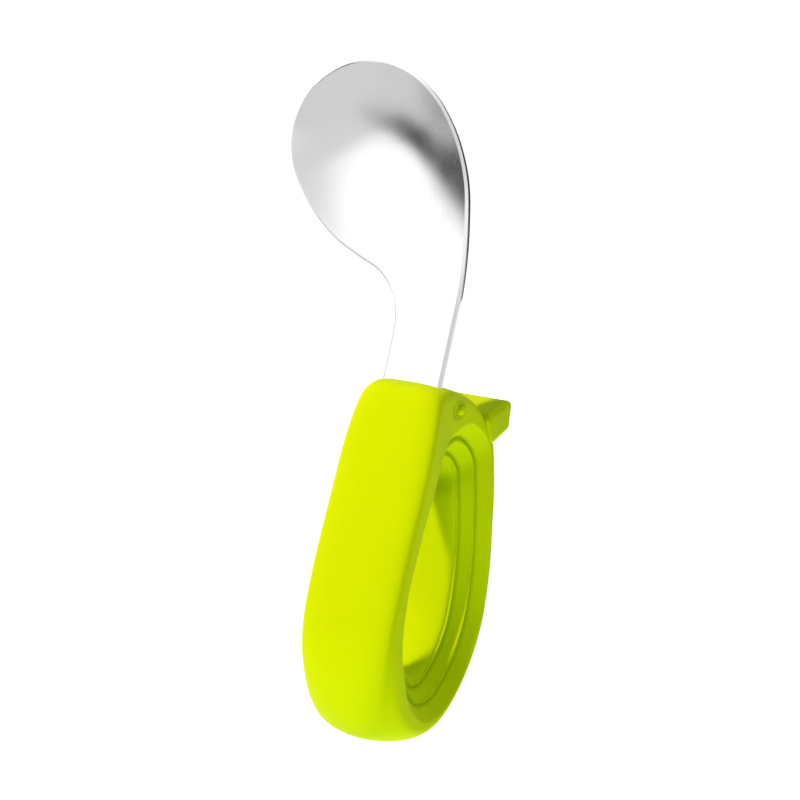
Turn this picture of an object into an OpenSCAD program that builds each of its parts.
// Baby spoon: a bent steel spoon blank with a soft loop handle moulded round its tang.
// The spoon lies on its back, as on a table. X is across the band, +Y points to the bowl
// and +Z is up. The origin is the middle of the rest foot's flat end, on the table.

/* [Handle loop] */
// Width of the silicone band, from side to side
band_w = 19.3; // [18:0.1:22]
// Length of the loop along the spoon
loop_l = 63; // [58:1:70]
// Depth of the loop, from its front face to its back
loop_d = 33.8; // [31:0.2:38]
// Width of the flat side wall along the front strap
front_wall = 3.9; // [3.2:0.1:4.6]
// Rounding of the loop's outer edges, where the wall leaves room for it
edge_round = 3.4; // [1:0.1:3.8]
// How far the bottom of the loop bulges between its side faces
crown = 1.3; // [0.6:0.1:1.8]
// How far each side face draws in at the top
top_taper = 1.3; // [0:0.1:1.8]
// Distance below the top at which the side faces start to draw in
taper_l = 19; // [9:0.5:22]

/* [Finger hole] */
// How far the first terrace goes in from the rim of the hole
terrace_1_in = 3.3; // [2:0.1:3.8]
// How far the second terrace goes in from the first
terrace_2_in = 2.7; // [2:0.1:3.2]
// How far the ridge in the middle stands in from the second terrace
ridge_in = 1.3; // [0.8:0.1:2]
// How far each terrace drops from the side of the band
terrace_drop = 2; // [1.6:0.1:2.6]
// Height of the riser between one terrace and the next
riser_h = 0.9; // [0.4:0.1:1.3]
// Width of the lip along the edge of each riser
lip_w = 0.5; // [0.2:0.1:0.8]
// Rounding of the rim of the hole
rim_round = 0.4; // [0.2:0.1:0.6]

/* [Steel spoon blank] */
// Thickness of the steel sheet
sheet_t = 1.5; // [1.2:0.1:2]
// Width of the flat neck
neck_w = 12.2; // [11:0.1:14]
// How far the steel reaches past the top of the loop
steel_reach = 58.9; // [52:0.1:66]
// How far the bowl reaches out past the left edge of the neck
bowl_side = 31.4; // [27:0.1:34]
// Depth of the bowl below its rim
bowl_depth = 7; // [5:0.1:9]
// Depth of the steel's face behind the front corner of the loop
steel_inset = 0.5; // [0.3:0.1:1.6]
// Polished bevel round the edge of the steel
bevel = 0.3; // [0.1:0.05:0.5]

/* [Tang inside the front strap] */
// Width of the tang
tang_w = 9; // [7:0.1:10]
// How far the tang runs down inside the loop
tang_l = 35; // [28:0.5:40]
// How far the full neck width runs into the loop
shoulder_l = 4; // [2:0.1:6]
// Diameter of the holes that lock the silicone to the tang
lock_d = 4; // [3:0.1:5]
// Spacing of the locking holes
lock_pitch = 8; // [6:0.1:9]
// Number of locking holes
lock_count = 3; // [1:1:3]

/* [Rest foot] */
// Thickness of the foot's plate
foot_t = 6.2; // [4:0.1:6.6]
// Width of the foot's plate
foot_w = 19.3; // [14:0.1:19.5]
// Angle at which the foot rises from the back of the loop
foot_rise = 35.5; // [30:0.5:40]
// Distance down the loop at which the foot's middle line leaves the back
foot_drop = 4.1; // [3.6:0.1:5]
// How far the foot's plate runs into the loop's wall
foot_embed = 1.2; // [0.8:0.1:1.6]
// Rounding of the foot's edges
foot_round = 1.4; // [0.5:0.1:1.8]
// Tilt of the spoon when it lies on the foot and the back of the loop
rest_tilt = 11.25; // [9:0.25:13]

/* [Side dimples] */
// Diameter of the round dimple on each side
dimple_d = 3.8; // [2.5:0.1:4.4]
// Depth of the dimple
dimple_depth = 1; // [0.4:0.1:1.2]
// Diameter of the bead inside the dimple
bead_d = 1.6; // [0.8:0.1:1.8]
// Distance of the bead above the dimple's middle
bead_rise = 0.4; // [0:0.1:0.8]
// Distance of the dimple behind the front corner of the loop
dimple_back = 4.6; // [3.6:0.1:5.4]
// Distance of the dimple below the top of the loop
dimple_drop = 3.2; // [3:0.1:5]

/* [Hidden] */

// Smoothness: steps between two outline points, round the outside, over the ridge, and
// along and across the bowl
outline_steps = 6;
round_steps = 5;
ridge_steps = 3;
bowl_slices = 6;
bowl_steps = 12;
overrun = 1;

// Full squareness of the outside's rounding, where 2 is an ellipse
squareness = 3.5;
// A fillet and the rim's rounding take at most these shares of the wall there
fillet_share = 0.62;
rim_share = 0.2;
// A lip rises by this share of its width
lip_slope_share = 0.2;
// The dish starts where the sheet is this many times as wide as the neck
dish_start_share = 1.06;

// The front corner of the loop stands this share of its depth behind the front face
corner_share = 0.125;
corner_z = loop_d * corner_share;

// Outer outline of the loop, seen from the right, from the top corner down the front,
// round the bottom and up the back: share of the depth, share of the length
outer_shares = [
    [0.225, -0.001], [0.107, 0.010], [0.050, 0.048], [0.030, 0.160], [0.019, 0.320],
    [0.004, 0.490], [0.000, 0.600], [0.018, 0.730], [0.092, 0.845], [0.230, 0.945],
    [0.385, 0.999], [0.590, 0.990], [0.785, 0.921], [0.935, 0.790], [1.000, 0.635],
    [0.960, 0.476], [0.868, 0.324], [0.783, 0.190], [0.684, 0.076], [0.460, 0.007]
];
// Wall between the outline and the rim of the hole at the same places, as shares of the front wall
wall_shares = [
    1.88, 2.36, 2.30, 1.44, 1.02,
    0.93, 0.94, 1.17, 1.38, 1.43,
    1.40, 0.83, 0.38, 0.18, 0.13,
    0.12, 0.15, 0.26, 0.48, 0.97
];
// Rounding of the outer edge at the same places, as shares of the edge's rounding
edge_shares = [
    0.55, 1.00, 1.00, 0.75, 0.66,
    0.66, 0.66, 0.72, 0.90, 1.00,
    1.00, 0.80, 0.60, 0.40, 0.30,
    0.30, 0.40, 0.45, 0.45, 0.45
];
// Bulge of the outside between the side faces at the same places, as shares of the crown
crown_shares = [
    0.60, 0.40, 0.30, 0.30, 0.30,
    0.30, 0.30, 0.42, 0.75, 1.00,
    1.00, 0.90, 0.72, 0.46, 0.30,
    0.30, 0.30, 0.30, 0.36, 0.50
];
// Squareness of the outside at the same places, as shares of the full squareness
square_shares = [
    1.00, 1.00, 1.00, 1.00, 1.00,
    1.00, 0.98, 0.90, 0.74, 0.60,
    0.57, 0.62, 0.75, 0.90, 1.00,
    1.00, 1.00, 1.00, 1.00, 1.00
];
// Widths of the terraces at the same places, as shares of their widths
step_shares = [
    1.10, 1.05, 1.00, 1.00, 1.00,
    1.00, 1.00, 1.00, 1.00, 1.03,
    1.06, 1.06, 1.02, 0.97, 0.95,
    0.95, 0.97, 1.04, 1.14, 1.14
];
// Middle line of the finger hole, towards which the terraces step in
focus_top_share = [0.48, 0.33];
focus_low_share = [0.57, 0.72];
// Past either end of the middle line, its pull fades over this share of its length
focus_fade_share = 0.25;

// Outline of the steel past the loop, from the neck to the tip of the bowl.
// Left edge: share of bowl_side out from the neck, share of steel_reach
left_shares = [
    [0.000, 0.030], [0.000, 0.140], [0.020, 0.222], [0.082, 0.283], [0.190, 0.334],
    [0.350, 0.370], [0.525, 0.414], [0.690, 0.477], [0.845, 0.560], [0.948, 0.640],
    [1.000, 0.740], [0.973, 0.842], [0.885, 0.916]
];
// Right edge, without the tip: share of bowl_side and neck_w together, in from the right,
// share of steel_reach
right_shares = [
    [0.000, 0.045], [0.000, 0.175], [0.001, 0.290], [0.014, 0.400], [0.040, 0.515],
    [0.078, 0.630], [0.137, 0.730], [0.215, 0.820], [0.318, 0.903], [0.450, 0.968],
    [0.610, 1.000], [0.785, 0.982]
];

// A point of the side view, x = 0: depth behind the front corner, distance below the top
function side_point(share) = [share[0] * loop_d - corner_z, -share[1] * loop_l];

function unit(v) = v / norm(v);
// Rises smoothly from 0 to 1
function ease(f) = let (g = min(1, max(0, f))) g * g * (3 - 2 * g);

// Smooth curve through four neighbours, at the share f between the middle two
function through(a, b, c, d, f) =
    (2 * b + (c - a) * f + (2 * a - 5 * b + 4 * c - d) * f * f
        + (3 * b - a - 3 * c + d) * f * f * f) / 2;
function closed_curve(list, steps) = [
    for (i = [0 : len(list) - 1], k = [0 : steps - 1])
        through(list[(i + len(list) - 1) % len(list)], list[i], list[(i + 1) % len(list)],
            list[(i + 2) % len(list)], k / steps)
];
function open_curve(list, steps) = [
    for (i = [1 : len(list) - 3], k = [0 : steps - 1])
        through(list[i - 1], list[i], list[i + 1], list[i + 2], k / steps)
];

// Loop: outline, wall and the way in at every station
loop_outer = closed_curve([for (s = outer_shares) side_point(s)], outline_steps);
loop_wall = closed_curve([for (s = wall_shares) s * front_wall], outline_steps);
loop_crown = closed_curve([for (s = crown_shares) s * crown], outline_steps);
loop_round = closed_curve([for (s = edge_shares) s * edge_round], outline_steps);
loop_square = closed_curve([for (s = square_shares) s * squareness], outline_steps);
loop_step = closed_curve(step_shares, outline_steps);
focus_top = side_point(focus_top_share);
focus_low = side_point(focus_low_share);
focus_line = focus_low - focus_top;
function along_focus(p) =
    ease(((p - focus_top) * focus_line / (focus_line * focus_line) + focus_fade_share)
        / (1 + 2 * focus_fade_share));
function inward(p) = unit(focus_top + focus_line * along_focus(p) - p);

// Half the width of the band at a height along the spoon, 0 at the top
function half_band(y) = band_w / 2 - top_taper * pow(max(0, 1 + y / taper_l), 2);

// Half of the band's section, from the middle of the outside to the ridge in the hole:
// half width, distance in from the outline at the side faces
function band_half(side, wall, bulge, edge, square, step) =
    let (
        fillet = min(edge, wall * fillet_share),
        rim = min(rim_round, wall * rim_share),
        edge_1 = side - terrace_drop,
        edge_2 = edge_1 - terrace_drop,
        in_1 = wall + terrace_1_in * step,
        in_2 = in_1 + terrace_2_in * step,
        lip_in = lip_w * lip_slope_share,
        crest = edge_2 - lip_w
    )
    concat(
        [for (i = [0 : round_steps]) let (a = 90 * i / round_steps)
            [side * pow(sin(a), 2 / square),
                fillet - (fillet + bulge) * pow(cos(a), 2 / square)]],
        [
            [side, wall - rim], [side - rim_round, wall + rim_round],
            [edge_1, in_1 - riser_h], [edge_1, in_1], [edge_1 - lip_w, in_1 + lip_in],
            [edge_2, in_2 - riser_h], [edge_2, in_2]
        ],
        [for (i = [0 : ridge_steps]) let (a = 90 * i / ridge_steps)
            [crest * cos(a), in_2 + lip_in + (ridge_in - lip_in) * sin(a)]]
    );
// Full ring of one station: in along the left side, then back out along the right
function band_ring(y, i) =
    let (half = band_half(half_band(y), loop_wall[i], loop_crown[i], loop_round[i],
        loop_square[i], loop_step[i]))
    concat([for (q = half) [-q[0], q[1]]], [for (i = [len(half) - 2 : -1 : 1]) half[i]]);
loop_rings = [
    for (i = [0 : len(loop_outer) - 1])
        let (p = loop_outer[i], way = inward(p))
            [for (q = band_ring(p[1], i))
                let (s = p + way * q[1]) [q[0], s[1], -s[0]]]
];

// Sheet outline past the loop
function left_point(s) = [-neck_w / 2 - s[0] * bowl_side, s[1] * steel_reach];
function right_point(s) = [neck_w / 2 - s[0] * (bowl_side + neck_w), s[1] * steel_reach];
// One line from below the neck, up the left edge, round the tip and down the right edge
sheet_line = concat(
    [[-neck_w / 2, -shoulder_l]], [for (s = left_shares) left_point(s)],
    [for (i = [len(right_shares) - 1 : -1 : 0]) right_point(right_shares[i])],
    [[neck_w / 2, -shoulder_l]]
);
sheet_ends = concat([sheet_line[0]], sheet_line, [sheet_line[len(sheet_line) - 1]]);
sheet_curve = concat(open_curve(sheet_ends, bowl_slices), [sheet_line[len(sheet_line) - 1]]);
slices = (len(sheet_curve) - 1) / 2;
// Left and right ends of a line across the sheet
function chord(i) = [sheet_curve[i], sheet_curve[len(sheet_curve) - 1 - i]];
half_chords = [for (i = [0 : slices - 1]) norm(chord(i)[1] - chord(i)[0]) / 2];
widest = max(half_chords);
widest_at = search(widest, half_chords)[0];
dish_start = neck_w / 2 * dish_start_share;
// Depth of the dish in the middle of a line across: none in the neck, all at the widest line
function dish(i) = bowl_depth * (i > widest_at
    ? pow(half_chords[i] / widest, 2)
    : max(0, (pow(half_chords[i], 2) - pow(dish_start, 2)) / (pow(widest, 2) - pow(dish_start, 2))));
// Ring round the sheet at one line across: the face from left to right, then the back
function sheet_ring(i) =
    let (
        ends = chord(i),
        middle = (ends[0] + ends[1]) / 2,
        way = (ends[1] - ends[0]) / 2,
        edge = 1 - bevel / half_chords[i],
        rows = [for (k = [0 : bowl_steps]) edge * (2 * k / bowl_steps - 1)],
        sag = dish(i)
    )
    concat(
        [[each middle - way, -bevel]],
        [for (q = rows) [each middle + way * q, -sag * (1 - q * q)]],
        [[each middle + way, -bevel], [each middle + way, bevel - sheet_t]],
        [for (k = [bowl_steps : -1 : 0]) let (q = rows[k])
            [each middle + way * q, -sag * (1 - q * q) - sheet_t]],
        [[each middle - way, bevel - sheet_t]]
    );

// Depth of a side view point towards the table, when the spoon lies on its back
function table_depth(p) = p[0] * cos(rest_tilt) + p[1] * sin(rest_tilt);
table_level = max([for (i = [0 : len(loop_outer) - 1])
    table_depth(loop_outer[i] - inward(loop_outer[i]) * loop_crown[i])]);

// Rest foot: it leaves the back of the loop, and ends flat on the table
rearmost_at = search(max([for (p = loop_outer) p[0]]), [for (p = loop_outer) p[0]])[0];
loop_back = [for (i = [rearmost_at : len(loop_outer) - 1]) [loop_outer[i][1], loop_outer[i][0]]];
foot_root = [lookup(-foot_drop, loop_back), -foot_drop];
foot_lean = foot_rise - rest_tilt;
foot_l = (table_level - table_depth(foot_root)) / cos(foot_lean);
foot_tip = foot_root + foot_l * [cos(foot_rise), sin(foot_rise)];
foot_tip_y = foot_tip[1] * cos(rest_tilt) - foot_tip[0] * sin(rest_tilt);

// Lays the spoon on the table, from its own axes: X across, Y along, Z out of the front
module on_table() {
    translate([0, -foot_tip_y, table_level]) rotate([-rest_tilt, 0, 0]) children();
}
// Solid through rings of points, joined to a closed loop or capped at both ends
module loft(rings, closed) {
    count = len(rings);
    size = len(rings[0]);
    skin = [
        for (i = [0 : count - (closed ? 1 : 2)], j = [0 : size - 1])
            let (a = i * size, b = ((i + 1) % count) * size, k = (j + 1) % size)
                each [[a + j, b + j, b + k], [a + j, b + k, a + k]]
    ];
    caps = [[for (j = [0 : size - 1]) j], [for (j = [size - 1 : -1 : 0]) (count - 1) * size + j]];
    polyhedron(points = [for (r = rings) each r], faces = closed ? skin : concat(skin, caps));
}

// Tang: a straight strip with a round end and a row of round holes
module tang() {
    linear_extrude(sheet_t) difference() {
        union() {
            translate([-tang_w / 2, tang_w / 2 - tang_l])
                square([tang_w, tang_l - tang_w / 2 - shoulder_l / 2]);
            translate([0, tang_w / 2 - tang_l]) circle(d = tang_w, $fn = 64);
        }
        for (i = [0 : lock_count - 1])
            translate([0, tang_w / 2 - tang_l + i * lock_pitch]) circle(d = lock_d, $fn = 48);
    }
}
// Places what is drawn from the sheet's back at the steel's place in the loop
module at_sheet_back() {
    translate([0, 0, -steel_inset - sheet_t]) children();
}
// The room that the steel takes up in the silicone
module steel_pocket() {
    at_sheet_back() {
        tang();
        translate([-neck_w / 2, -shoulder_l]) cube([neck_w, shoulder_l + crown + overrun, sheet_t]);
    }
}

// Axes of the foot: x along the plate, y through its thickness, z across the band
module on_foot() {
    translate([0, foot_root[1], -foot_root[0]])
        rotate([foot_rise - 90, 0, 0]) rotate([90, 0, 90]) children();
}
module foot() {
    on_foot() intersection() {
        translate([0, 0, -foot_w / 2]) linear_extrude(foot_w)
            offset(r = foot_round, $fn = 32) offset(delta = -foot_round)
                polygon([
                    for (v = [-1, 1]) [-foot_embed, v * foot_t / 2],
                    for (v = [1, -1]) [foot_l + v * foot_t / 2 * tan(foot_lean), v * foot_t / 2]
                ]);
        translate([-foot_embed, 0, 0]) rotate([90, 0, 90]) linear_extrude(foot_l + foot_t)
            offset(r = foot_round, $fn = 32) offset(delta = -foot_round)
                square([foot_t, foot_w], center = true);
    }
}

// Places what is drawn on the right side face, and its mirror image on the left
module on_sides() {
    for (m = [0, 1]) mirror([m, 0, 0])
        translate([half_band(-dimple_drop), -dimple_drop, -dimple_back]) children();
}
module dimple() {
    ball = (dimple_d * dimple_d / 4 + dimple_depth * dimple_depth) / (2 * dimple_depth);
    translate([ball - dimple_depth, 0, 0]) sphere(r = ball, $fn = 64);
}
module bead() {
    translate([-dimple_depth, bead_rise, 0]) sphere(d = bead_d, $fn = 32);
}

module spoon_blank() {
    color("silver") on_table() {
        translate([0, 0, -steel_inset]) loft([for (i = [0 : slices - 1]) sheet_ring(i)], false);
        at_sheet_back() tang();
    }
}

module grip_loop() {
    color("yellowgreen") on_table() {
        difference() {
            union() {
                loft(loop_rings, true);
                foot();
            }
            steel_pocket();
            on_sides() dimple();
        }
        on_sides() bead();
    }
}

spoon_blank();
grip_loop();
